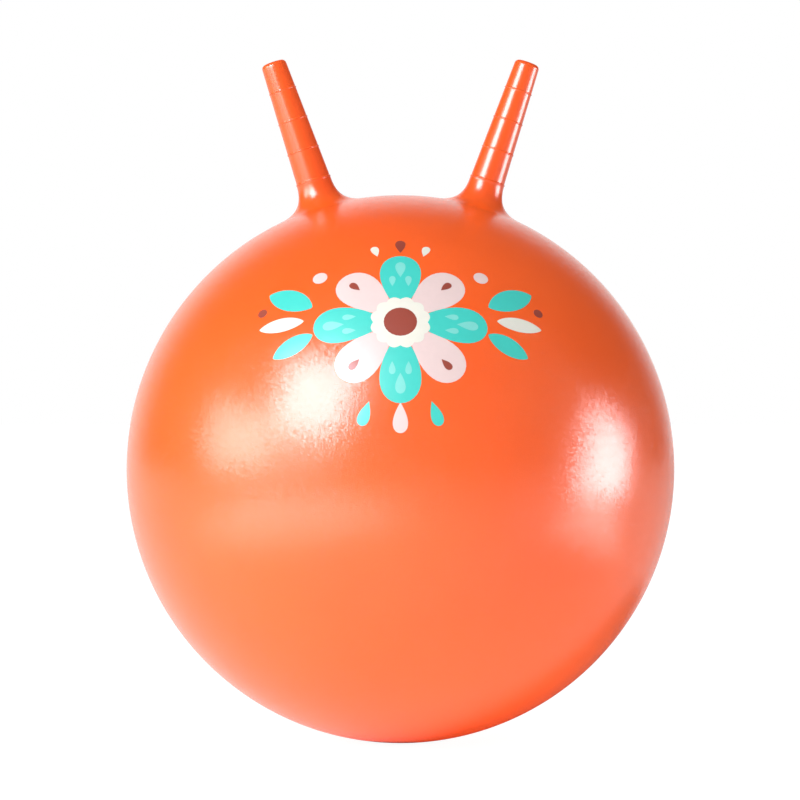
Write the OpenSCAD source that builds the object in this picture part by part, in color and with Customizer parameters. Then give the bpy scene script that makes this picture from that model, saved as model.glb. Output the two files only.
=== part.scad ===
// Hopper ball: an inflated vinyl ball with two hollow horns to hold on to,
// and a stoppered air valve on its back.
// Z is up and the floor is z = 0. The origin is the centre of the flat patch
// that the ball stands on. The printed front faces -Y and the horns lean to -X and +X.

/* [Ball] */
// Diameter of the inflated ball
ball_d = 450; // [400:5:600]
// Wall of the inflated ball
skin_wall = 1; // [0.8:0.1:1.5]
// Width of the flat patch that the ball's own weight presses on the floor
patch_d = 36; // [24:1:60]

/* [Horn neck] */
// Angle from the top of the ball to the middle of each horn, in degrees
horn_angle = 16.8; // [14:0.1:24]
// Height from the ball to the first ring of a horn
neck_h = 22.8; // [22:0.2:30]
// How far the neck stands out past the grip at the first ring
neck_step = 0.25; // [0.2:0.05:0.5]
// Radius of the curve that spreads the neck out onto the ball
flare_r = 19.5; // [15:0.5:21]
// Width of the patch of ball that is counted to the horn
foot_d = 74; // [72:1:90]

/* [Horn grip] */
// How much further the grip leans outwards than the neck, in degrees
grip_tilt = 2.1; // [0:0.1:4]
// Length of the grip from the first ring to the tip
grip_len = 102.6; // [90:0.2:130]
// Diameter of the grip at the first ring
grip_base_d = 28.6; // [24:0.1:34]
// Diameter of the grip at the tip, before its edge is rounded
grip_tip_d = 20.6; // [16:0.1:24]
// Radius of the rounded edge of the tip
tip_round = 4.6; // [2:0.1:6]
// Wall of the horns
horn_wall = 2.2; // [1.5:0.1:3]

/* [Grip rings] */
// Number of raised rings on each horn, the one at the neck included
ring_count = 4; // [2:1:6]
// Plain length of grip between the last ring and the tip
ring_free = 24.6; // [15:0.2:35]
// Width of a ring on the surface of the grip
ring_w = 1.2; // [1:0.1:2]
// Height of a ring over the surface of the grip
ring_rise = 0.4; // [0.3:0.05:0.6]

/* [Valve seat] */
// Height of the valve above the middle of the ball, in degrees
valve_angle = 20; // [0:1:40]
// Width of the collar that shows in the skin, around the recess for the plug's head
collar_w = 5.2; // [3:0.1:8]
// Width of the raised rim on the collar
rim_w = 2.2; // [1:0.1:2.5]
// Height of the rim over the surface of the ball
rim_rise = 0.3; // [0.1:0.05:0.6]
// Plain width of the collar outside its rim
rim_edge = 0.4; // [0.2:0.1:0.5]
// Width of the flange that is welded behind the skin, around the collar
flange_w = 9; // [6:0.5:15]
// Thickness of that flange
flange_t = 1.6; // [1:0.1:2.5]
// Thickness of the floor of the recess
recess_floor = 2.4; // [2:0.1:4]
// Diameter of the air bore
bore_d = 8; // [6.5:0.1:9]
// Wall of the air tube
tube_wall = 3.4; // [2:0.1:4]
// Length of the air tube behind the floor of the recess
tube_len = 20; // [14:0.5:30]
// Film of cement between the seat and the skin
weld_film = 0.2; // [0.1:0.05:0.3]

/* [Valve plug] */
// Diameter of the plug's head
head_d = 18; // [15:0.1:20]
// Thickness of the head at its edge
head_edge = 1.5; // [1:0.1:1.8]
// Rise of the domed top of the head
head_dome = 0.8; // [0.4:0.1:1.2]
// Bevel under the edge of the head, where a tool lifts it
lift_bevel = 0.7; // [0.3:0.1:0.9]
// How deep the top of the head lies under the surface of the ball
head_sink = 0.3; // [0:0.1:1]
// Gap around the head in its recess
head_gap = 0.8; // [0.5:0.1:1.5]
// Gap between the head and the floor of its recess
seat_gap = 0.2; // [0.1:0.05:0.3]
// Running gap between the stem's ribs and the bore
stem_gap = 0.05; // [0.02:0.01:0.09]
// Number of holding ribs on the stem
rib_count = 3; // [1:1:4]
// Distance from rib to rib
rib_pitch = 3.6; // [3.2:0.1:3.8]
// Length of the barb that makes each rib, part of it sunk in the stem
rib_len = 3; // [2.4:0.1:3.2]
// Height of a rib over the stem
rib_rise = 0.5; // [0.3:0.05:0.8]
// Length of the plain stem between the head and the first rib
shank_len = 4; // [2:0.5:6]
// Length of the tapered nose
nose_len = 6; // [3:0.5:8]
// Diameter of the end of the nose
nose_d = 4; // [3:0.1:5]

/* [Hidden] */
$fn = 144;

// What every cut runs past the faces that it opens
over = 1;

// Ball
ball_r = ball_d / 2;
patch_r = patch_d / 2;
centre_z = sqrt(pow(ball_r, 2) - pow(patch_r, 2));

// Horn neck, with its own Z along the line from the middle of the ball
grip_base_r = grip_base_d / 2;
neck_r = grip_base_r + neck_step;
neck_top = ball_r + neck_h;
foot_r = foot_d / 2;
foot_z = sqrt(pow(ball_r, 2) - pow(foot_r, 2));
// The flare's curve crosses the neck and the ball at these small angles
neck_cross = 4;
ball_cross = 8;
flare_x = neck_r + flare_r * cos(neck_cross);
flare_reach = sqrt(pow(ball_r, 2) + pow(flare_r, 2) + 2 * ball_r * flare_r * cos(ball_cross));
flare_z = sqrt(pow(flare_reach, 2) - pow(flare_x, 2));

// Horn grip, with its own Z from the middle of the first ring
grip_tip_r = grip_tip_d / 2;
taper = atan((grip_base_r - grip_tip_r) / grip_len);
ring_pitch = (grip_len - ring_free) / (ring_count - 1);
// A ring is the part of a round bead that stands over the grip
ring_r = (pow(ring_rise, 2) + pow(ring_w / 2, 2)) / (2 * ring_rise);
// The bead that rounds the tip's edge stands this far over the faces it joins
tip_swell = 0.02;

// Valve, with its own Z along the line from the middle of the ball
head_r = head_d / 2;
recess_r = head_r + head_gap;
collar_r = recess_r + collar_w;
flange_r = collar_r + flange_w;
bore_r = bore_d / 2;
// The rim is the part of a round bead that stands over the ball
rim_bead_r = (pow(rim_rise, 2) + pow(rim_w / 2, 2)) / (2 * rim_rise);
rim_reach = ball_r + rim_rise - rim_bead_r;
rim_x = (collar_r - rim_edge - rim_w / 2) * rim_reach / ball_r;
rim_z = sqrt(pow(rim_reach, 2) - pow(rim_x, 2));
floor_z = ball_r - head_sink - head_dome - head_edge - seat_gap;
floor_back_z = floor_z - recess_floor;
tube_end_z = floor_back_z - tube_len;
flange_face_r = ball_r - skin_wall - weld_film;
rib_r = bore_r - stem_gap;
stem_r = rib_r - rib_rise;
head_z = floor_z + seat_gap;
ribs_end = shank_len + rib_count * rib_pitch;

// Radius of the grip at a height over the first ring
function grip_r(z) = grip_base_r - z * tan(taper);

// The middle of the ball
module at_centre() {
    translate([0, 0, centre_z]) children();
}

// The line that a horn's neck stands on: side is -1 for left and 1 for right
module on_neck(side) {
    at_centre() rotate([0, horn_angle, side < 0 ? 180 : 0]) children();
}

// The line that the valve sits on
module on_valve() {
    at_centre() rotate([valve_angle - 90, 0, 0]) children();
}

// A ball standing on the floor, smaller by inset on every side
module standing_ball(inset) {
    intersection() {
        at_centre() sphere(ball_r - inset);
        translate([0, 0, inset]) cylinder(h = ball_d + centre_z, r = ball_d);
    }
}

// Half outline of the neck: a straight wall that flares onto the ball
module neck_outline(inset) {
    difference() {
        polygon([
            [0, ball_r - flare_r],
            [0, neck_top],
            [neck_r - inset, neck_top],
            [neck_r - inset, flare_z],
            [flare_x, flare_z],
            [flare_x * (ball_r - flare_r) / flare_reach, flare_z * (ball_r - flare_r) / flare_reach]
        ]);
        translate([flare_x, flare_z]) circle(flare_r + inset);
    }
}

// Half outline of the plain grip, with the edge of its tip rounded
module grip_outline(inset, start_z, end_z) {
    round_r = tip_round - inset / 2;
    round_z = end_z - round_r;
    round_x = grip_r(round_z) - inset - round_r / cos(taper);
    polygon([
        [0, start_z],
        [0, end_z],
        [round_x, end_z],
        [round_x, round_z],
        [grip_r(round_z) - inset, round_z],
        [grip_r(start_z) - inset, start_z]
    ]);
    translate([round_x, round_z]) circle(round_r + tip_swell);
}

// One raised ring, as a bead in the wall of the grip
module ring_bead(z) {
    translate([grip_r(z) + ring_rise - ring_r, z]) circle(ring_r);
}

// The grip's own line, from the middle of the first ring: lean is the share of the tilt
module on_grip(lean) {
    translate([0, 0, neck_top]) rotate([0, lean * grip_tilt, 0]) children();
}

// The first ring is a disc that joins neck and grip, halfway between their directions
module neck_ring() {
    bead_x = neck_r + ring_rise - ring_r;
    rotate_extrude() {
        translate([0, -ring_w / 2]) square([bead_x, ring_w]);
        translate([bead_x, 0]) circle(ring_r);
    }
}

// The space inside one horn, open to the ball
module horn_inside() {
    rotate_extrude() neck_outline(horn_wall);
    on_grip(1) rotate_extrude() grip_outline(horn_wall, -horn_wall, grip_len - horn_wall);
}

module horn_solid() {
    rotate_extrude() neck_outline(0);
    on_grip(0.5) neck_ring();
    on_grip(1) rotate_extrude() {
        grip_outline(0, 0, grip_len);
        for (i = [1 : ring_count - 1]) ring_bead(i * ring_pitch);
    }
}

// One hollow horn with the round patch of ball that it stands on
module horn(side) {
    on_neck(side) difference() {
        intersection() {
            union() {
                sphere(ball_r);
                horn_solid();
            }
            translate([0, 0, foot_z]) cylinder(h = neck_top + grip_len, r = foot_d);
        }
        sphere(ball_r - skin_wall);
        horn_inside();
    }
}

module ball_skin() {
    color("#f4632a") difference() {
        standing_ball(0);
        standing_ball(skin_wall);
        for (side = [-1, 1]) on_neck(side) translate([0, 0, foot_z]) cylinder(h = ball_r, r = foot_d);
        on_valve() translate([0, 0, floor_back_z]) cylinder(h = ball_r, r = collar_r + weld_film);
    }
}

module left_horn() {
    color("#f05c26") horn(-1);
}

module right_horn() {
    color("#f05c26") horn(1);
}

// The raised rim, as a bead along the edge of the collar
module collar_rim() {
    rotate_extrude() translate([rim_x, rim_z]) circle(rim_bead_r);
}

module valve_seat() {
    color("#e8551f") on_valve() difference() {
        union() {
            intersection() {
                union() {
                    sphere(ball_r);
                    collar_rim();
                }
                translate([0, 0, floor_back_z]) cylinder(h = ball_r, r = collar_r);
            }
            intersection() {
                difference() {
                    sphere(flange_face_r);
                    sphere(flange_face_r - flange_t);
                }
                translate([0, 0, tube_end_z]) cylinder(h = ball_r, r = flange_r);
            }
            translate([0, 0, tube_end_z]) cylinder(h = tube_len + over, r = bore_r + tube_wall);
        }
        translate([0, 0, floor_z]) cylinder(h = ball_r, r = recess_r);
        translate([0, 0, tube_end_z - over]) cylinder(h = ball_r, r = bore_r);
    }
}

// The bevelled head, the stem and its tapered nose, turned in one piece
module plug_body() {
    rotate_extrude() polygon([
        [0, head_edge],
        [head_r, head_edge],
        [head_r, lift_bevel],
        [head_r - lift_bevel, 0],
        [stem_r, 0],
        [stem_r, -ribs_end],
        [nose_d / 2, -ribs_end - nose_len],
        [0, -ribs_end - nose_len]
    ]);
}

// The low dome on the head, a cap of a large ball
module head_cap() {
    cap_r = (pow(head_r, 2) + pow(head_dome, 2)) / (2 * head_dome);
    intersection() {
        translate([0, 0, head_edge + head_dome - cap_r]) sphere(cap_r);
        translate([0, 0, lift_bevel]) cylinder(h = cap_r, r = head_r);
    }
}

// One holding rib, a barb that slides in easily and out less so
module holding_rib() {
    rotate_extrude() polygon([
        [0, 0],
        [rib_r, 0],
        [rib_r, -rib_len / 3],
        [stem_r - rib_rise, -rib_len],
        [0, -rib_len]
    ]);
}

module valve_plug() {
    color("#f6f1ea") on_valve() translate([0, 0, head_z]) {
        plug_body();
        head_cap();
        for (i = [0 : rib_count - 1]) translate([0, 0, -shank_len - i * rib_pitch]) holding_rib();
    }
}

ball_skin();
left_horn();
right_horn();
valve_seat();
valve_plug();
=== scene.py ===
import math

import bpy
from mathutils import Matrix, Vector
from mathutils.geometry import delaunay_2d_cdt


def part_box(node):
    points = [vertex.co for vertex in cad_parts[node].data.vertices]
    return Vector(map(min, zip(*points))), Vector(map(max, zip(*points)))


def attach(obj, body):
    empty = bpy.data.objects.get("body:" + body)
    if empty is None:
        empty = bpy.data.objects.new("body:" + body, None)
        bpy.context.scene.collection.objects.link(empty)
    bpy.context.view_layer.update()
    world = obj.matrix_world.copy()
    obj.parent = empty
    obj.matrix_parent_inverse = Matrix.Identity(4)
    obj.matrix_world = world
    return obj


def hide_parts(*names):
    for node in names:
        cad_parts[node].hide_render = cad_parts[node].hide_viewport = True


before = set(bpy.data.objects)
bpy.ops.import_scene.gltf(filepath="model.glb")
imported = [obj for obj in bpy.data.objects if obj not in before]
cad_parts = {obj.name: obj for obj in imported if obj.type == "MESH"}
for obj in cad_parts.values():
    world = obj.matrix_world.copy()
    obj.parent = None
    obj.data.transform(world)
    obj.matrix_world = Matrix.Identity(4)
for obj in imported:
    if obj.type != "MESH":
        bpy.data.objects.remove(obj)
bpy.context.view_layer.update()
MM = 0.001

# The ball: one seamless skin of soft vinyl, 1 mm thick, cast in a turning mould and blown up.
# Its own weight presses a small flat patch at the bottom. Three round openings are left in it:
# one under each horn, where the two go on as one skin, and the port for the air valve.
ball_low, ball_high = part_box("ball_skin")
ball_r = (ball_high.x - ball_low.x) / 2
patch_r = 18 * MM
middle = Vector((0, 0, math.sqrt(ball_r ** 2 - patch_r ** 2)))
skin_wall = 1 * MM
patch_soft = 0.1 * MM
patch_ring = 34 * MM
patch_rows = 12
outer_step = 5 * MM
inner_step = 9 * MM
room_share = 0.75
triangles_only = 0
same_point = 1e-9

horn_lean = math.radians(16.8)
foot_r = 37 * MM
foot_columns = 72
valve_rise = math.radians(20)
port_r = 15.2 * MM
port_columns = 48

to_right_horn = Matrix.Rotation(horn_lean, 3, "Y")
to_left_horn = Matrix.Rotation(math.pi, 3, "Z") @ to_right_horn
to_valve = Matrix.Rotation(valve_rise - math.pi / 2, 3, "X")
openings = [
    (to_right_horn, foot_r, foot_columns),
    (to_left_horn, foot_r, foot_columns),
    (to_valve, port_r, port_columns),
]


def around(columns):
    """The angles of a ring of points."""
    return [2 * math.pi * i / columns for i in range(columns)]


def spread_evenly(step):
    """Directions about one step apart all over a ball, along a sunflower's spiral."""
    count = int(4 * math.pi * ball_r ** 2 / (step ** 2 * math.sqrt(3) / 2))
    golden = math.pi * (3 - math.sqrt(5))
    for i in range(count):
        rise = 1 - (2 * i + 1) / count
        reach = math.sqrt(1 - rise ** 2)
        yield Vector((reach * math.cos(golden * i), reach * math.sin(golden * i), rise))


def patch_height(reach):
    """Height of the skin over the floor, this far from the middle of the flat patch."""
    free = middle.z - math.sqrt(ball_r ** 2 - reach ** 2)
    return (free + math.hypot(free, patch_soft)) / 2


def skin_layer(inset, step):
    """Points and faces of one side of the skin, its openings' rings first and its flat patch last."""
    radius = ball_r - inset
    flat = [Vector((math.cos(a), math.sin(a), 0)) for a in around(int(2 * math.pi * patch_ring / step))]
    ways, rings = [], []
    for turn, opening_r, columns in openings:
        tilt = math.asin(opening_r / ball_r)
        rings.append(range(len(ways), len(ways) + columns))
        for a in around(columns):
            away = math.sin(tilt)
            ways.append(turn @ Vector((away * math.cos(a), away * math.sin(a), math.cos(tilt))))
    low = patch_ring / ball_r
    rings.append(range(len(ways), len(ways) + len(flat)))
    ways += [Vector((low * way.x, low * way.y, -math.sqrt(1 - low ** 2))) for way in flat]
    room = room_share * step / ball_r
    for way in spread_evenly(step):
        clear = math.acos(-way.z) > math.asin(low) + room
        for turn, opening_r, columns in openings:
            clear = clear and way.angle(turn.col[2]) > math.asin(opening_r / ball_r) + room
        if clear:
            ways.append(way)

    seen_from_below = [Vector((way.x, way.y)) / (1 + way.z) for way in ways]
    edges = []
    for ring in rings:
        edges += [(ring[i - 1], ring[i]) for i in range(len(ring))]
    made = delaunay_2d_cdt(seen_from_below, edges, [], triangles_only, same_point)
    given = [found[0] for found in made[3]]
    faces = []
    for face in made[2]:
        face = [given[i] for i in face]
        if not any(all(i in ring for i in face) for ring in rings[:-1]):
            faces.append(face)

    points = [middle + way * radius for way in ways]
    ring = list(rings[-1])
    for i, way in zip(ring, flat):
        points[i] = Vector((way.x * patch_ring, way.y * patch_ring, patch_height(patch_ring) + inset))
    for row in range(patch_rows - 1, 0, -1):
        reach = patch_ring * row / patch_rows
        start = len(points)
        points += [Vector((way.x * reach, way.y * reach, patch_height(reach) + inset)) for way in flat]
        for i in range(len(flat)):
            faces.append([ring[i - 1], ring[i], start + i, start + (i - 1) % len(flat)])
        ring = list(range(start, start + len(flat)))
    points.append(Vector((0, 0, patch_height(0) + inset)))
    faces += [[ring[i - 1], ring[i], len(points) - 1] for i in range(len(ring))]
    return points, faces, rings


def add_piece(name, points, faces, normals=None):
    """A new object with this mesh, shaded smooth, at the row frame's origin."""
    mesh = bpy.data.meshes.new(name)
    mesh.from_pydata(points, [], faces)
    mesh.validate()
    mesh.update()
    mesh.shade_smooth()
    if normals:
        kept = [normals.get(v.index, mesh.vertex_normals[v.index].vector) for v in mesh.vertices]
        mesh.normals_split_custom_set_from_vertices(kept)
    piece = bpy.data.objects.new(name, mesh)
    bpy.context.scene.collection.objects.link(piece)
    return piece


points, faces, rings = skin_layer(0, outer_step)
inner_points, inner_faces, inner_rings = skin_layer(skin_wall, inner_step)
behind = len(points)
normals = {}
for i, point in enumerate(points):
    if i not in rings[-1] and (point.xy.length > patch_ring or point.z > middle.z):
        normals[i] = (point - middle).normalized()
points += inner_points
faces += [[behind + i for i in reversed(face)] for face in inner_faces]
for ring, inner in zip(rings[:-1], inner_rings):
    for i in range(len(ring)):
        faces.append([ring[i - 1], ring[i], behind + inner[i], behind + inner[i - 1]])
ball = add_piece("ball", points, faces, normals)
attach(ball, "root")
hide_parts("ball_skin")


# The orange vinyl of ball and horns. The mould's inside is blasted with fine grit, so the ball
# has a very fine stipple that breaks up the edges of every highlight. The horns' half of the
# mould is smoother. The ball's orange varies a little at random towards a deeper orange, and
# the horns are that deeper orange all over.
vinyl_light = (0.97, 0.130, 0.018, 1)
horn_deep = (0.93, 0.104, 0.012, 1)
facet_size = 0.9 * MM
facet_lean = 0.11
stipple_fades_from = 0.5 * MM
stipple_fades_to = 12 * MM
horn_stipple_share = 0.02
skin_roughness = 0.19
cloud_roughness = 0.03
horn_roughness = 0.03


class Number:
    """A socket of a shader: sums written with it become Math nodes."""

    def __init__(self, surface, socket):
        self.surface = surface
        self.socket = socket

    def reckon(self, operation, *values):
        inputs = dict(enumerate(values))
        return self.surface.node("ShaderNodeMath", {"operation": operation}, inputs)

    def __add__(self, other):
        return self.reckon("ADD", self, other)

    def __radd__(self, other):
        return self.reckon("ADD", other, self)

    def __sub__(self, other):
        return self.reckon("SUBTRACT", self, other)

    def __rsub__(self, other):
        return self.reckon("SUBTRACT", other, self)

    def __mul__(self, other):
        return self.reckon("MULTIPLY", self, other)

    def __rmul__(self, other):
        return self.reckon("MULTIPLY", other, self)


class Surface:
    """A tree of shader nodes that is being put together."""

    def __init__(self, owner):
        owner.use_nodes = True
        self.owner = owner
        self.tree = owner.node_tree
        self.tree.nodes.clear()

    def node(self, kind, settings, inputs, output=0):
        """Adds a node: settings first, then values or links for its sockets. Gives one output."""
        made = self.tree.nodes.new(kind)
        for name, value in settings.items():
            setattr(made, name, value)
        for name, value in inputs.items():
            if isinstance(value, Number):
                self.tree.links.new(value.socket, made.inputs[name])
            else:
                made.inputs[name].default_value = value
        return Number(self, made.outputs[output]) if made.outputs else None


def new_material(name):
    return Surface(bpy.data.materials.new(name))


def mix_colours(surface, share, first, second):
    """One colour that goes over into another as share goes from 0 to 1."""
    inputs = {0: share, 6: first, 7: second}
    return surface.node("ShaderNodeMix", {"data_type": "RGBA"}, inputs, 2)


def finish_with(surface, inputs):
    """Ends a material with a Principled shader."""
    shader = surface.node("ShaderNodeBsdfPrincipled", {}, inputs)
    surface.node("ShaderNodeOutputMaterial", {}, {"Surface": shader})
    return surface.owner


def orange_vinyl():
    surface = new_material("orange_vinyl")
    place = surface.node("ShaderNodeTexCoord", {}, {}, "Object")
    clouds = surface.node(
        "ShaderNodeTexNoise", {}, {"Vector": place, "Scale": 9.0, "Detail": 3.0, "Roughness": 0.5}
    )
    facets = {"Vector": place, "Scale": 1 / facet_size}
    lean = surface.node("ShaderNodeTexVoronoi", {}, facets, "Color")
    facet_middle = surface.node("ShaderNodeTexVoronoi", {}, facets, "Position")
    less = {"operation": "SUBTRACT"}
    either_way = surface.node("ShaderNodeVectorMath", less, {0: lean, 1: (0.5, 0.5, 0.5)})
    off_middle = surface.node("ShaderNodeVectorMath", less, {0: place, 1: facet_middle})
    stipple = surface.node(
        "ShaderNodeVectorMath", {"operation": "DOT_PRODUCT"}, {0: either_way, 1: off_middle}, "Value"
    )
    from_middle = surface.node(
        "ShaderNodeVectorMath", {"operation": "DISTANCE"}, {0: place, 1: middle}, "Value"
    )
    up_the_horn = surface.node(
        "ShaderNodeMapRange",
        {"interpolation_type": "SMOOTHSTEP"},
        {
            "Value": from_middle,
            "From Min": ball_r + stipple_fades_from,
            "From Max": ball_r + stipple_fades_to,
        },
    )
    stippled = 1 - up_the_horn * (1 - horn_stipple_share)
    height = stipple * stippled * facet_lean
    bump = surface.node("ShaderNodeBump", {}, {"Height": height, "Distance": 1.0, "Strength": 1.0})
    colour = mix_colours(surface, clouds * (1 - up_the_horn), horn_deep, vinyl_light)
    return finish_with(
        surface,
        {
            "Base Color": colour,
            "Roughness": skin_roughness + cloud_roughness * clouds + horn_roughness * up_the_horn,
            "IOR": 1.6,
            "Normal": bump,
        },
    )


vinyl = orange_vinyl()
ball.data.materials.append(vinyl)

# The two horns: hollow handles of the same vinyl, a little over 2 mm thick, moulded in one with
# the ball. A neck flares out onto it, and above the first of four thin raised rings the tapered
# grip leans a little further out and ends in a rounded tip.
neck_top = ball_r + 22.8 * MM
neck_r = 14.55 * MM
neck_step = 0.25 * MM
flare_end_r = 36 * MM
flare_handles = (11 * MM, 18.5 * MM)
flare_slope = 0.03
flare_rows = 18
grip_lean = math.radians(2.1)
grip_len = 102.6 * MM
grip_base_r = 14.3 * MM
grip_tip_r = 10.3 * MM
grip_rows_between = 6
tip_round = 3.6 * MM
tip_arc_rows = 8
tip_dome = 0.3 * MM
tip_dome_shares = (0.75, 0.5, 0.25)
horn_wall = 2.2 * MM
bend_half = 8 * MM
ring_pitch = 26 * MM
ring_rise = 0.5 * MM
ring_half = 0.8 * MM
ring_lift_shares = (0, 0.3, 0.8, 1, 0.8, 0.3, 0)
ring_count = 4
beside_ring = (0.12 * MM, 0.4 * MM, 1.2 * MM)


def bezier(start, first, second, end, share):
    """The point that share of the way along a curve, drawn towards its two handles."""
    rest = 1 - share
    near_start = start * rest ** 3 + 3 * first * rest ** 2 * share
    return near_start + 3 * second * rest * share ** 2 + end * share ** 3


def neck_rows(inset):
    """Half outline of the flared neck from the ball up: (distance from the axis, height)."""
    radius = ball_r - min(inset, skin_wall)
    end_r = flare_end_r - inset
    slope = math.asin(end_r / radius)
    end = Vector((end_r, math.sqrt(radius ** 2 - end_r ** 2)))
    top = Vector((neck_r - inset, neck_top - ring_half))
    by_top = top + Vector((flare_slope, -1)) * flare_handles[0]
    by_end = end + Vector((-math.cos(slope), math.sin(slope))) * flare_handles[1]
    foot = foot_r * radius / ball_r
    rows = [Vector((foot, math.sqrt(radius ** 2 - foot ** 2)))]
    return rows + [bezier(end, by_end, by_top, top, i / flare_rows) for i in range(flare_rows)]


def grip_rows(inset):
    """Half outline of the grip up to the middle of its tip, with its rings where inset is 0."""
    def wall_r(z):
        return grip_base_r + (grip_tip_r - grip_base_r) * (z - neck_top) / grip_len - inset

    top = neck_top + grip_len - inset
    corner = tip_round - inset / 2
    slope = math.atan((grip_base_r - grip_tip_r) / grip_len)
    rows = []
    for i in range(ring_count):
        at = neck_top + i * ring_pitch
        lifts = ring_lift_shares if inset == 0 else (0, 0, 0)
        half = (len(lifts) - 1) / 2
        base = neck_step if i == 0 else 0
        for k, lift in enumerate(lifts):
            z = at + (k - half) / half * ring_half
            rows.append(Vector((wall_r(z) + base * (1 - k / len(lifts)) + lift * ring_rise, z)))
        last = i == ring_count - 1
        start, end = at + ring_half, top - corner if last else at + ring_pitch - ring_half
        heights = [start + close for close in beside_ring]
        heights += [start + (end - start) * k / grip_rows_between for k in range(1, grip_rows_between)]
        heights += [] if last else [end - close for close in reversed(beside_ring)]
        rows += [Vector((wall_r(z), z)) for z in heights]
    centre = Vector((wall_r(top - corner) - corner / math.cos(slope), top - corner))
    for k in range(tip_arc_rows + 1):
        angle = slope + (math.pi / 2 - slope) * k / tip_arc_rows
        rows.append(centre + corner * Vector((math.cos(angle), math.sin(angle))))
    flat = rows[-1].x
    for share in tip_dome_shares:
        rows.append(Vector((flat * share, top + tip_dome * (1 - share ** 2))))
    return rows, top + tip_dome


def bent(reach, angle, z):
    """A point of the horn, z along its line from the middle of the ball, in the ball's own frame."""
    over = z - neck_top
    share = min(max((over + bend_half) / (2 * bend_half), 0), 1)
    lean = grip_lean * (3 * share ** 2 - 2 * share ** 3)
    aside = grip_lean * 2 * bend_half * (share ** 3 - share ** 4 / 2)
    if over > bend_half:
        aside = math.sin(grip_lean) * over
        over *= math.cos(grip_lean)
    across = reach * math.cos(angle)
    height = neck_top + over - across * math.sin(lean)
    return Vector((aside + across * math.cos(lean), reach * math.sin(angle), height))


def horn_layer(inset):
    rows, tip = grip_rows(inset)
    rows = neck_rows(inset) + rows
    points = []
    for row in rows:
        points += [bent(row.x, angle, row.y) for angle in around(foot_columns)]
    points.append(bent(0, 0, tip))
    faces = []
    for start in range(0, len(points) - 1 - foot_columns, foot_columns):
        for i in range(foot_columns):
            j = (i + 1) % foot_columns
            faces.append([start + i, start + j, start + foot_columns + j, start + foot_columns + i])
    start = len(points) - 1 - foot_columns
    faces += [[start + i, start + (i + 1) % foot_columns, len(points) - 1] for i in range(foot_columns)]
    return points, faces


def horn(name, turn, node):
    points, faces = horn_layer(0)
    inner_points, inner_faces = horn_layer(horn_wall)
    behind = len(points)
    faces += [[behind + i for i in reversed(face)] for face in inner_faces]
    for i in range(foot_columns):
        j = (i + 1) % foot_columns
        faces.append([j, i, behind + i, behind + j])
    points = [middle + turn @ point for point in points + inner_points]
    normals = {i: (points[i] - middle).normalized() for i in range(foot_columns)}
    piece = add_piece(name, points, faces, normals)
    piece.data.materials.append(vinyl)
    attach(piece, "root")
    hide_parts(node)
    return piece


horn("horn_on_the_left", to_left_horn, "left_horn")
horn("horn_on_the_right", to_right_horn, "right_horn")

# The print on the front: a folk flower between two sprigs, in five inks that are laid one on
# another with a soft pad. The film is smooth and closes the stipple under it, so it shines more
# evenly than the skin. Its places are millimetres over the skin from the middle of the print.
print_rise = math.radians(30)
print_turn = Matrix.Rotation(math.pi / 2 - print_rise, 3, "X")
film = 0.07 * MM
film_root = 0.1 * MM
film_edge = 0.35 * MM
film_shoulder_share = 0.4
film_ring = 5
thin_ink_share = 0.94
outline_points = 36
dot_points = 24
points_per_bump = 8
turquoise = (0.042, 0.62, 0.545, 1)
pale_pink = (0.80, 0.62, 0.61, 1)
cream = (0.80, 0.79, 0.71, 1)
brown = (0.33, 0.055, 0.032, 1)
mint = (0.20, 0.70, 0.64, 1)


def on_print(x, y, rise):
    """The point of the ball x to the right and y up from the middle of the print."""
    reach = math.hypot(x, y) / ball_r
    aside = math.sin(reach) / max(math.hypot(x, y), same_point)
    way = Vector((x * aside, y * aside, math.cos(reach)))
    return middle + print_turn @ way * (ball_r + rise)


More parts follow.
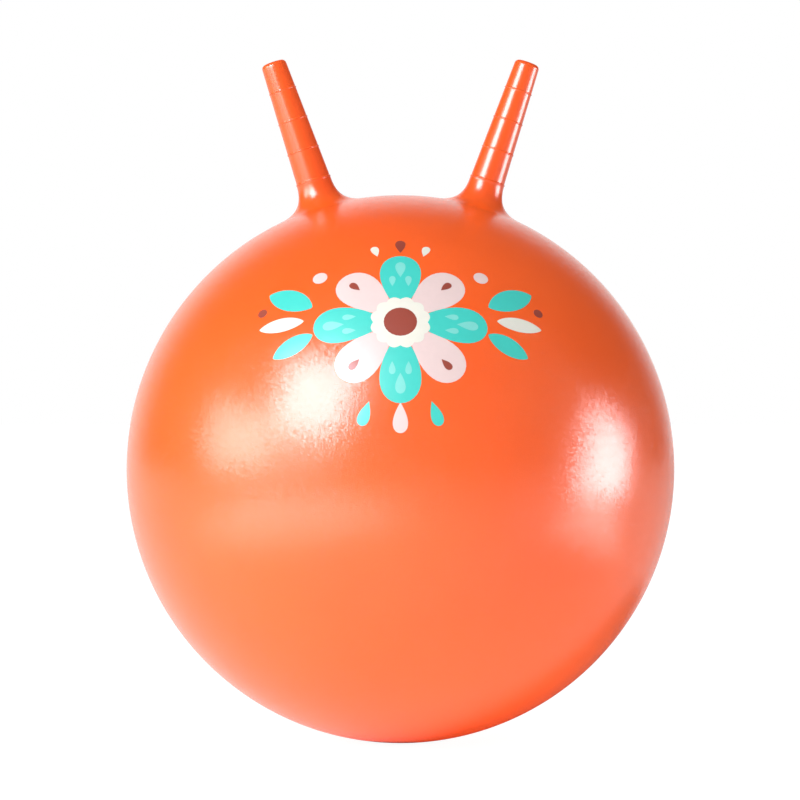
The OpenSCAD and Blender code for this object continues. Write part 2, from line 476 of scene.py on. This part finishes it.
class Ink:
    """All the shapes of one ink, as thin closed films on the skin."""

    def __init__(self, name, colour, layer):
        self.name = name
        self.colour = colour
        self.rise = film * layer
        self.points = []
        self.faces = []

    def shape(self, outline, x, y, turn=0):
        """One shape: outline holds points in mm around its own middle, counterclockwise."""
        cos = math.cos(math.radians(turn))
        sin = math.sin(math.radians(turn))
        outline = [Vector((p[0] * cos - p[1] * sin, p[0] * sin + p[1] * cos)) for p in outline]
        place = Vector((x, y))
        widest = max(p.length for p in outline)
        rings = max(2, int(widest / film_ring))
        levels = [(1, -film_root), (1, self.rise * film_shoulder_share)]
        levels += [(1 - film_edge / MM / widest, self.rise)]
        levels += [(1 - (i + 1) / rings, self.rise) for i in range(rings - 1)]
        count = len(outline)
        rows = len(levels)
        start = len(self.points)
        for share, rise in levels:
            self.points += [self.at(place + p * share, rise) for p in outline]
        self.points.append(self.at(place, self.rise))
        self.points.append(self.at(place, -film_root))
        for row in range(rows - 1):
            for i in range(count):
                j = (i + 1) % count
                low, high = start + row * count, start + (row + 1) * count
                self.faces.append([low + i, low + j, high + j, high + i])
        last = start + (rows - 1) * count
        for i in range(count):
            j = (i + 1) % count
            self.faces.append([last + i, last + j, start + rows * count])
            self.faces.append([start + j, start + i, start + rows * count + 1])

    def at(self, place, rise):
        return on_print(place.x * MM, place.y * MM, rise)

    def lay(self):
        """Makes one piece of all the shapes, in this ink's own material."""
        straight_out = {i: (point - middle).normalized() for i, point in enumerate(self.points)}
        piece = add_piece(self.name, self.points, self.faces, straight_out)
        surface = new_material(self.name + "_film")
        place = surface.node("ShaderNodeTexCoord", {}, {}, "Object")
        flow = surface.node("ShaderNodeTexNoise", {}, {"Vector": place, "Scale": 220.0, "Detail": 2.0})
        deep = tuple(thin_ink_share * c for c in self.colour[:3]) + (1,)
        bump = surface.node("ShaderNodeBump", {}, {"Height": flow, "Distance": 0.004 * MM, "Strength": 1.0})
        material = finish_with(
            surface,
            {
                "Base Color": mix_colours(surface, flow, deep, self.colour),
                "Roughness": 0.34 + 0.06 * flow,
                "Coat Weight": 0.6,
                "Coat Roughness": 0.2,
                "Normal": bump,
            },
        )
        piece.data.materials.append(material)
        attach(piece, "root")


def petal(length, width, fullness=0.6):
    """A drop with its point at the bottom, its middle at half its length."""
    points = []
    for i in range(outline_points):
        a = 2 * math.pi * i / outline_points - math.pi / 2
        along = (1 + math.sin(a)) / 2
        points.append((width / 2 * math.cos(a) * along ** fullness, length / 2 * math.sin(a)))
    return points


def leaf(length, width):
    """An almond with two points, lying along y."""
    points = []
    for i in range(outline_points):
        a = 2 * math.pi * i / outline_points - math.pi / 2
        points.append((width / 2 * math.cos(a) * abs(math.cos(a)) ** 0.5, length / 2 * math.sin(a)))
    return points


def dot(radius, bumps=0, depth=0.0):
    """A disc, or a scalloped disc with so many bumps."""
    points = []
    for a in around(bumps * points_per_bump if bumps else dot_points):
        reach = radius * (1 + depth * abs(math.sin(bumps * a / 2)))
        points.append((reach * math.cos(a), reach * math.sin(a)))
    return points


def out_from(turn, distance):
    """The place that far from the flower's middle, turn degrees from straight up."""
    a = math.radians(turn)
    return -distance * math.sin(a), flower_y + distance * math.cos(a)


flower_y = 8
petal_pairs = 4
pale_petal, pale_out = petal(58, 44, 0.55), 36
bright_petal, bright_out = petal(60, 42, 0.5), 38
seed, seed_out = petal(11, 8), 50
large_drop, large_drop_out = petal(17, 11), 52
small_drop, small_drop_out, small_drop_aside = petal(11, 7), 40, 9
pink_ink = Ink("print_pink", pale_pink, 1)
turquoise_ink = Ink("print_turquoise", turquoise, 2)
mint_ink = Ink("print_mint", mint, 3)
cream_ink = Ink("print_cream", cream, 3)
brown_ink = Ink("print_brown", brown, 4)
for i in range(2 * petal_pairs):
    turn = 180 / petal_pairs * i
    if i % 2:
        pink_ink.shape(pale_petal, *out_from(turn, pale_out), turn)
        brown_ink.shape(seed, *out_from(turn, seed_out), turn)
    else:
        turquoise_ink.shape(bright_petal, *out_from(turn, bright_out), turn)
        mint_ink.shape(large_drop, *out_from(turn, large_drop_out), turn)
        for side in (-1, 1):
            aside = turn + side * small_drop_aside
            mint_ink.shape(small_drop, *out_from(aside, small_drop_out), turn)

# Around the flower lie a crown of three drops, three hanging drops and, on either side, a sprig:
# (ink, outline, degrees from straight up, distance) and (ink, outline, x, y, lean in degrees).
drops = [
    (pink_ink, petal(24, 16), 180, 79),
    (turquoise_ink, petal(20, 13), 160, 80),
    (turquoise_ink, petal(20, 13), 200, 80),
    (brown_ink, petal(16, 11), 0, 80),
    (cream_ink, petal(13, 9), -15, 77),
    (cream_ink, petal(13, 9), 15, 77),
]
for ink, outline, turn, distance in drops:
    ink.shape(outline, *out_from(turn, distance), turn)
cream_ink.shape(dot(21, 12, 0.12), 0, flower_y)
brown_ink.shape(dot(13), 0, flower_y)
sprig = [
    (turquoise_ink, leaf(44, 20), 88, 40, 58),
    (cream_ink, leaf(38, 13), 95, 17, 88),
    (turquoise_ink, leaf(36, 16), 85, -5, 114),
    (pink_ink, dot(6), 64, 58, 0),
    (brown_ink, dot(4), 112, 34, 0),
]
for side in (-1, 1):
    for ink, outline, x, y, lean in sprig:
        ink.shape(outline, side * x, y, -side * lean)
for ink in (pink_ink, turquoise_ink, mint_ink, cream_ink, brown_ink):
    ink.lay()

# The valve seat: a soft vinyl insert, turned out of its own mould and welded into the port from
# inside. A collar lies flush in the skin around the recess for the plug's head, and a tube with
# the air bore runs inwards from it.
recess_r = 9.8 * MM
collar_r = 15 * MM
weld_r = 15.9 * MM
weld_rise = 0.12 * MM
rim_out = 14.6 * MM
rim_in = 12.4 * MM
rim_rise = 0.3 * MM
rim_slope = 0.5 * MM
rim_edge = 0.6 * MM
flange_r = 24 * MM
flange_t = 1.6 * MM
flange_face = ball_r - skin_wall - 0.2 * MM
bore_r = 4 * MM
tube_r = 7.4 * MM
recess_floor = ball_r - 2.8 * MM
collar_back = ball_r - 5.2 * MM
collar_back_r = collar_r - 0.4 * MM
tube_end = ball_r - 25.2 * MM
tube_edge = 0.8 * MM
tube_foot = 1 * MM
bore_edge = 0.4 * MM
collar_edge = 0.6 * MM
seat_edge = 0.5 * MM
recess_corner = 0.4 * MM
weld_tuck = 0.3 * MM
weld_drop = 0.1 * MM
weld_corner = 0.05 * MM
weld_edge = 0.2 * MM
rim_outer_foot = 0.15 * MM
rim_inner_foot = 0.3 * MM
cut_share = 0.49


def rounded(corners, steps=5):
    """Corners are (reach, height, radius): gives the outline with each corner rounded."""
    outline = []
    for i, (x, y, radius) in enumerate(corners):
        here = Vector((x, y))
        before = Vector(corners[i - 1][:2]) - here
        after = Vector(corners[(i + 1) % len(corners)][:2]) - here
        if radius == 0:
            outline.append(here)
            continue
        half = before.angle(after) / 2
        back = min(radius / math.tan(half), cut_share * before.length, cut_share * after.length)
        start, end = here + before.normalized() * back, here + after.normalized() * back
        for k in range(steps + 1):
            share = k / steps
            outline.append(start * (1 - share) ** 2 + 2 * here * share * (1 - share) + end * share ** 2)
    return outline


def turned(name, outline, closed, columns=64):
    """A piece turned on the valve's line. An outline that isn't closed starts and ends on that line."""
    points, faces = [], []
    for reach, height in outline:
        for a in around(columns):
            way = Vector((reach * math.cos(a), reach * math.sin(a), height))
            points.append(middle + to_valve @ way)
    rows = len(outline)
    for row in range(rows if closed else rows - 1):
        low, high = row * columns, (row + 1) % rows * columns
        for i in range(columns):
            j = (i + 1) % columns
            faces.append([low + i, low + j, high + j, high + i])
    if not closed:
        for end, height in ((0, outline[0][1]), (rows - 1, outline[-1][1])):
            points.append(middle + to_valve @ Vector((0, 0, height)))
            for i in range(columns):
                pair = [end * columns + i, end * columns + (i + 1) % columns]
                faces.append((pair[::-1] if end == 0 else pair) + [len(points) - 1])
    return add_piece(name, points, faces)


def on_sphere(reach, radius):
    return math.sqrt(radius ** 2 - reach ** 2)


seat_outline = rounded(
    [
        (bore_r, tube_end, bore_edge),
        (tube_r, tube_end, tube_edge),
        (tube_r, collar_back, tube_foot),
        (collar_back_r, collar_back, collar_edge),
        (collar_back_r, on_sphere(collar_r, flange_face - flange_t), collar_edge),
        (flange_r, on_sphere(flange_r, flange_face - flange_t), seat_edge),
        (flange_r, on_sphere(flange_r, flange_face), seat_edge),
        (collar_r, on_sphere(collar_r, flange_face), 0),
        (collar_r, on_sphere(collar_r, ball_r) - weld_tuck, 0),
        (weld_r, on_sphere(weld_r, ball_r) - weld_drop, weld_corner),
        (weld_r - weld_edge, on_sphere(weld_r, ball_r) + weld_rise, weld_edge),
        (collar_r - weld_edge, on_sphere(collar_r, ball_r) + weld_rise, weld_edge),
        (rim_out, on_sphere(rim_out, ball_r), rim_outer_foot),
        (rim_out - rim_slope, on_sphere(rim_out, ball_r) + rim_rise, rim_edge),
        (rim_in + rim_slope, on_sphere(rim_in, ball_r) + rim_rise, rim_edge),
        (rim_in, on_sphere(rim_in, ball_r), rim_inner_foot),
        (recess_r, on_sphere(recess_r, ball_r), seat_edge),
        (recess_r, recess_floor, recess_corner),
        (bore_r, recess_floor, seat_edge),
    ]
)
seat = turned("air_valve_seat", seat_outline, True)


def seat_vinyl():
    surface = new_material("seat_vinyl")
    place = surface.node("ShaderNodeTexCoord", {}, {}, "Object")
    clouds = surface.node("ShaderNodeTexNoise", {}, {"Vector": place, "Scale": 60.0, "Detail": 3.0})
    grain = surface.node("ShaderNodeTexNoise", {}, {"Vector": place, "Scale": 1600.0, "Detail": 1.0})
    bump = surface.node("ShaderNodeBump", {}, {"Height": grain, "Distance": 0.015 * MM, "Strength": 1.0})
    colour = mix_colours(surface, clouds, (0.72, 0.085, 0.016, 1), (0.82, 0.115, 0.02, 1))
    return finish_with(
        surface,
        {
            "Base Color": colour,
            "Roughness": 0.45 + 0.1 * clouds,
            "Coat Weight": 0.3,
            "Coat Roughness": 0.3,
            "Normal": bump,
        },
    )


seat.data.materials.append(seat_vinyl())
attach(seat, "root")
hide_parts("valve_seat")

# The stopper: one moulding of stiffer off-white plastic. Its domed head fills the recess, and
# three barbs on its stem hold it in the bore. It is pulled out straight to blow the ball up.
head_r = 9 * MM
head_back = ball_r - 2.6 * MM
head_top = head_back + 2.3 * MM
head_edge = head_back + 1.5 * MM
head_bevel = 0.7 * MM
head_bevel_edge = 0.2 * MM
head_rim_edge = 0.35 * MM
head_groove = 0.12 * MM
head_groove_shares = (0.65, 0.71)
head_dome_shares = (0.85, 0.72, 0.7, 0.66, 0.64, 0.5, 0.3, 0.1)
stem_r = 3.45 * MM
stem_foot = 0.5 * MM
shank_len = 4 * MM
rib_r = 3.95 * MM
rib_pitch = 3.6 * MM
rib_count = 3
rib_land = 1 * MM
rib_ramp = 1 * MM
rib_edges = (0.2 * MM, 0.15 * MM, 0.1 * MM, 0.1 * MM)
nose_len = 6 * MM
nose_r = 2 * MM
nose_flat_r = 0.3 * MM
nose_edge = 0.6 * MM
nose_foot = 0.3 * MM
ribs_end = head_back - shank_len - rib_count * rib_pitch

plug_corners = [
    (nose_flat_r, ribs_end - nose_len, 0),
    (nose_r, ribs_end - nose_len, nose_edge),
    (stem_r, ribs_end, nose_foot),
]
for i in reversed(range(rib_count)):
    top = head_back - shank_len - i * rib_pitch
    plug_corners += [
        (stem_r, top - rib_land - rib_ramp, rib_edges[0]),
        (rib_r, top - rib_land, rib_edges[1]),
        (rib_r, top, rib_edges[2]),
        (stem_r, top, rib_edges[3]),
    ]
plug_corners += [
    (stem_r, head_back, stem_foot),
    (head_r - head_bevel, head_back, head_bevel_edge),
    (head_r, head_back + head_bevel, head_bevel_edge),
    (head_r, head_edge, head_rim_edge),
]
dome_r = (head_r ** 2 + (head_top - head_edge) ** 2) / (2 * (head_top - head_edge))
for share in head_dome_shares:
    sunk = head_groove if head_groove_shares[0] < share < head_groove_shares[1] else 0
    reach = head_r * share
    plug_corners.append((reach, head_top - dome_r + on_sphere(reach, dome_r) - sunk, 0))
plug_outline = rounded(plug_corners)
plug = turned("air_valve_plug", plug_outline, False)


def plug_plastic():
    surface = new_material("plug_plastic")
    place = surface.node("ShaderNodeTexCoord", {}, {}, "Object")
    clouds = surface.node("ShaderNodeTexNoise", {}, {"Vector": place, "Scale": 90.0, "Detail": 2.0})
    grain = surface.node("ShaderNodeTexNoise", {}, {"Vector": place, "Scale": 2200.0, "Detail": 1.0})
    bump = surface.node("ShaderNodeBump", {}, {"Height": grain, "Distance": 0.008 * MM, "Strength": 1.0})
    colour = mix_colours(surface, clouds, (0.80, 0.77, 0.71, 1), (0.87, 0.85, 0.80, 1))
    return finish_with(
        surface,
        {
            "Base Color": colour,
            "Roughness": 0.32 + 0.08 * clouds,
            "Coat Weight": 0.4,
            "Coat Roughness": 0.15,
            "Normal": bump,
        },
    )


plug.data.materials.append(plug_plastic())
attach(plug, "plug")
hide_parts("valve_plug")

# The floor: white to the camera. To the gloss of the ball it is a bright floor on the left that
# darkens to the right, with the ball's own shade as a dark ellipse behind it on the right.
floor_half = 12
floor_white = 1.2
floor_white_share = 0.8
mirrored_white_share = 0.7
mirrored_from = 0.5
lit_floor = (0.93, 0.93, 0.93, 1)
shaded_floor = (0.23, 0.23, 0.23, 1)
shade_place = (0.204, 0.202, 0)
shade_turn = (0, 0, math.radians(50))
shade_size = (0.29, 0.155, 1)
shade_starts = 1.3
shade_full = 0.98

floor_mesh = bpy.data.meshes.new("floor")
corners = [(x * floor_half, y * floor_half, 0) for x, y in ((-1, -1), (1, -1), (1, 1), (-1, 1))]
floor_mesh.from_pydata(corners, [], [(0, 1, 2, 3)])
floor = bpy.data.objects.new("floor", floor_mesh)
bpy.context.scene.collection.objects.link(floor)


def floor_paint():
    paint = new_material("floor_paint")
    by_camera = paint.node("ShaderNodeLightPath", {}, {}, "Is Camera Ray")
    by_gloss = paint.node("ShaderNodeLightPath", {}, {}, "Is Glossy Ray")
    spot = paint.node("ShaderNodeTexCoord", {}, {}, "Object")
    in_shade = paint.node(
        "ShaderNodeMapping",
        {"vector_type": "TEXTURE"},
        {"Vector": spot, "Location": shade_place, "Rotation": shade_turn, "Scale": shade_size},
    )
    from_shade = paint.node("ShaderNodeVectorMath", {"operation": "LENGTH"}, {0: in_shade}, "Value")
    clear = paint.node(
        "ShaderNodeMapRange",
        {"interpolation_type": "SMOOTHSTEP"},
        {"Value": from_shade, "From Min": shade_full, "From Max": shade_starts},
    )
    sideways = paint.node(
        "ShaderNodeVectorMath", {"operation": "DOT_PRODUCT"}, {0: spot, 1: (1, 0, 0)}, "Value"
    )
    to_the_left = paint.node(
        "ShaderNodeMapRange",
        {"interpolation_type": "SMOOTHSTEP"},
        {"Value": sideways, "From Min": mirrored_from, "From Max": -mirrored_from},
    )
    lit = paint.node("ShaderNodeBsdfDiffuse", {}, {"Color": lit_floor})
    shaded = paint.node("ShaderNodeBsdfDiffuse", {}, {"Color": shaded_floor})
    matt = paint.node("ShaderNodeMixShader", {}, {0: by_gloss * (1 - clear), 1: lit, 2: shaded})
    white = paint.node("ShaderNodeEmission", {}, {"Color": (1, 1, 1, 1), "Strength": floor_white})
    share = by_camera * floor_white_share + by_gloss * clear * to_the_left * mirrored_white_share
    mixed = paint.node("ShaderNodeMixShader", {}, {0: share, 1: matt, 2: white})
    paint.node("ShaderNodeOutputMaterial", {}, {"Surface": mixed})
    return paint.owner


floor_mesh.materials.append(floor_paint())

# The air around: plain dim light on the vinyl's colour, and white to the camera. To the gloss it
# is a bright wall behind the ball that fades to almost nothing at the sides and in front.
air_light = 0.74
wall_way = (-0.12, 0.99, 0.02)
wall_starts = 0.66
wall_full = 0.98
wall_white = 1.1
away_from_wall = 0.03

world = bpy.data.worlds.new("studio")
bpy.context.scene.world = world
air = Surface(world)
way = air.node("ShaderNodeTexCoord", {}, {}, "Generated")
towards_wall = air.node(
    "ShaderNodeVectorMath", {"operation": "DOT_PRODUCT"}, {0: way, 1: wall_way}, "Value"
)
wall = air.node(
    "ShaderNodeMapRange",
    {"interpolation_type": "SMOOTHSTEP"},
    {
        "Value": towards_wall,
        "From Min": wall_starts,
        "From Max": wall_full,
        "To Min": away_from_wall,
        "To Max": wall_white,
    },
)
by_camera = air.node("ShaderNodeLightPath", {}, {}, "Is Camera Ray")
by_gloss = air.node("ShaderNodeLightPath", {}, {}, "Is Glossy Ray")
by_glass = air.node("ShaderNodeLightPath", {}, {}, "Is Transmission Ray")
plain = air_light * (1 - by_camera) * (1 - by_gloss) * (1 - by_glass)
strength = plain + by_camera + by_glass + by_gloss * wall
light = air.node("ShaderNodeBackground", {}, {"Color": (1, 1, 1, 1), "Strength": strength})
air.node("ShaderNodeOutputWorld", {}, {"Surface": light})


# The lights. Lamps light the vinyl: a softbox above on the left, two dim ones low beside it and
# the glow of the floor. Soft cards show in its gloss alone, where they draw the highlights: the
# softbox, a wide panel and a haze on the left, a leaning window on the right, the bright floor.
def lamp(name, place, aim, wide, high, radiance, seen_by="all", lean=0):
    """A softbox: radiance is how bright its front looks, where 1 is white."""
    data = bpy.data.lights.new(name, "AREA")
    data.shape = "RECTANGLE"
    data.size = wide
    data.size_y = high
    data.energy = radiance * math.pi * wide * high
    thing = bpy.data.objects.new(name, data)
    thing.location = place
    facing = (Vector(aim) - Vector(place)).to_track_quat("-Z", "Y").to_matrix()
    thing.rotation_euler = (facing @ Matrix.Rotation(math.radians(lean), 3, "Z")).to_euler()
    thing.visible_camera = False
    thing.visible_diffuse = seen_by != "gloss"
    thing.visible_glossy = seen_by != "matt"
    bpy.context.scene.collection.objects.link(thing)
    return data


def soft_card(name, place, aim, wide, high, radiance, core, lean=0, tint=(1, 1, 1, 1)):
    """A softbox that only gloss sees: full in the core share of its width, then fading to its rim."""
    glow = Surface(lamp(name, place, aim, wide, high, radiance, "gloss", lean))
    where = glow.node("ShaderNodeNewGeometry", {}, {}, "Parametric")
    off_middle = glow.node(
        "ShaderNodeVectorMath", {"operation": "SUBTRACT"}, {0: where, 1: (0.5, 0.5, 0)}
    )
    squares = glow.node(
        "ShaderNodeVectorMath", {"operation": "MULTIPLY"}, {0: off_middle, 1: off_middle}
    )
    reach = glow.node("ShaderNodeVectorMath", {"operation": "LENGTH"}, {0: squares}, "Value")
    rim = 0.5 ** 2
    share = glow.node(
        "ShaderNodeMapRange",
        {"interpolation_type": "SMOOTHSTEP"},
        {"Value": reach, "From Min": rim, "From Max": rim * core ** 2},
    )
    shine = glow.node("ShaderNodeEmission", {}, {"Color": tint, "Strength": share})
    glow.node("ShaderNodeOutputLight", {}, {"Surface": shine})


softbox_tint = (1, 0.87, 1, 1)
window_tint = (1, 0.94, 1, 1)
window_at = Vector((1.62, -0.09, 0.21))
window_aim = Vector((0, -0.09, 0.21))
under_ball = Vector((0.05, -0.04, 0.003))
by_window = Vector((0.96, -0.18, 0.01))
by_key = Vector((-0.70, -0.82, 0.01))
square_up = Vector((0, 0.001, 0.99))
cornerwise_up = Vector((-0.001, 0.001, 0.99))

lamp("key", (-0.95, -1.12, 1.00), middle, 0.96, 0.96, radiance=4.6)
soft_card("key_card", (-1.72, -2.30, 1.86), middle, 2.00, 1.98, radiance=17.0, core=0.66, tint=softbox_tint)
lamp("left_panel", (-1.29, -0.42, 0.47), middle, 0.85, 0.58, radiance=2.3, seen_by="matt")
soft_card("left_card", (-4.76, -1.55, 1.28), middle, 3.90, 2.56, radiance=7.2, core=0.25)
soft_card("haze", (-3.83, -3.21, 0.97), middle, 6.40, 1.90, radiance=3.5, core=0.40)
lamp("low_front", (-0.98, -0.92, 0.25), middle, 0.90, 0.44, radiance=2.9, seen_by="matt")
soft_card("window", window_at, window_aim, 0.98, 1.30, radiance=16.0, core=0.12, lean=-28, tint=window_tint)
soft_card("floor_by_window", by_window, by_window + square_up, 1.10, 0.60, radiance=4.2, core=0.05)
soft_card("floor_by_key", by_key, by_key + cornerwise_up, 1.36, 1.44, radiance=3.2, core=0.30)
lamp("floor_bounce", under_ball, under_ball + square_up, 0.74, 0.70, radiance=0.55, seen_by="matt")

# The camera: as far off as the photograph's seems to be, a little above the middle of the ball,
# and turned so that the ball stands where the photograph has it.
lens_d = 12 * ball_r
camera_rise = math.radians(2)
shown_r = 273.9
shown_x, shown_y = 400.4, 468.7
image = 800
camera_data = bpy.data.cameras.new("camera")
camera_data.sensor_width = 36
focal = shown_r * math.sqrt(lens_d ** 2 - ball_r ** 2) / ball_r
camera_data.lens = focal * camera_data.sensor_width / image
camera_data.clip_end = 100
camera = bpy.data.objects.new("camera", camera_data)
camera.location = middle + lens_d * Vector((0, -math.cos(camera_rise), math.sin(camera_rise)))
down = math.atan((shown_y - image / 2) / focal)
aside = math.atan((shown_x - image / 2) / focal)
camera.rotation_euler = (math.pi / 2 - camera_rise + down, 0, aside)
bpy.context.scene.collection.objects.link(camera)
bpy.context.scene.camera = camera
bpy.context.scene.view_settings.view_transform = "Standard"
